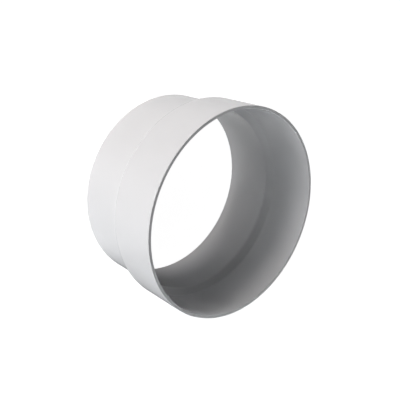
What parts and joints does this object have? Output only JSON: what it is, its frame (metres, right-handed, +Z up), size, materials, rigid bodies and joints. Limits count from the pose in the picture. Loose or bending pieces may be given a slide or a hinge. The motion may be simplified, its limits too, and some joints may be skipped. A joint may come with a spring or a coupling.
{
  "type": "duct reducer",
  "caption": "Thin-walled round duct reducer that joins a wide ventilation duct to a slightly narrower one through a short cone.",
  "frame": {"origin": "middle of the small end's lip, on the surface that the reducer stands on", "axes": "+Z up the bore from the small end to the large mouth; the reducer is round about Z, so X and Y are free"},
  "size_m": [0.16, 0.16, 0.0855],
  "materials": {
    "white_plastic": "smooth moulded, satin gloss"
  },
  "bodies": {
    "root": {"reducer_shell": "white_plastic"}
  },
  "joints": []
}
